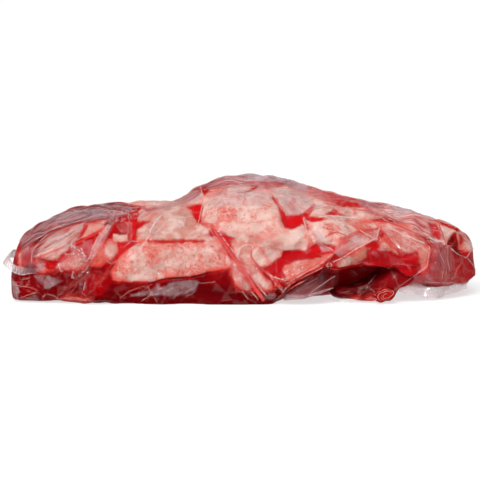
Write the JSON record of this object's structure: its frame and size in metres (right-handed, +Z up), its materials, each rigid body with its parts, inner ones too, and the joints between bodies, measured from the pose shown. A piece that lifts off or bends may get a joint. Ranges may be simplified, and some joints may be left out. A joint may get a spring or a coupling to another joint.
{
  "type": "vacuum-packed raw beef brisket",
  "caption": "Whole raw beef brisket, fat side showing, sealed in a clear clinging vacuum bag with a crimped end seal and loose hems.",
  "frame": {"origin": "middle of the footprint, on the surface that the pack rests on", "axes": "+X along the cut towards its tapered raised end, +Y from the fat side to the back, +Z up"},
  "size_m": [0.4736, 0.192, 0.1184],
  "materials": {
    "brisket": "raw beef, pale pink fat over dark red lean, wet under clear film",
    "juice": "thin red meat juice, wet and glossy",
    "film": "clear shrunk barrier film, smooth and glossy, with creases"
  },
  "bodies": {
    "root": {"vacuum_packed_brisket": "brisket"}
  },
  "joints": []
}
